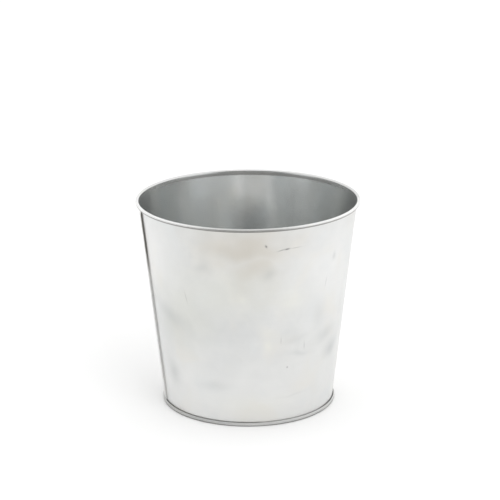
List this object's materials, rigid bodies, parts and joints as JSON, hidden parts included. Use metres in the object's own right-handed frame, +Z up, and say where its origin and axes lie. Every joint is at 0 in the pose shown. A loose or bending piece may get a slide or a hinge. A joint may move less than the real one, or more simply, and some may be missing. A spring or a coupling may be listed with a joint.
{
  "type": "florist bucket",
  "caption": "Plain tapered sheet-metal florist bucket with a wired rolled rim, a grooved lock seam down the side and a raised base double-seamed to the wall, for holding cut flowers in water.",
  "frame": {"origin": "centre of the standing ring, at floor level", "axes": "+Z up along the bucket's axis, towards the mouth; +X and -X are level, with the side lock seam near -X; -Y is the front"},
  "size_m": [0.2, 0.2, 0.187],
  "materials": {
    "galvanised_sheet": "galvanised sheet steel, satin, faintly mottled",
    "galvanised_base": "galvanised sheet steel, satin, a little duller than the wall",
    "steel_wire": "drawn steel wire, zinc coated",
    "seam_sealant": "grey seam sealing compound, matt"
  },
  "bodies": {
    "root": {"body_sheet": "galvanised_sheet", "rim_wire": "steel_wire", "base_disc": "galvanised_base", "base_seam_sealant": "seam_sealant", "side_seam_sealant": "seam_sealant"}
  },
  "joints": []
}
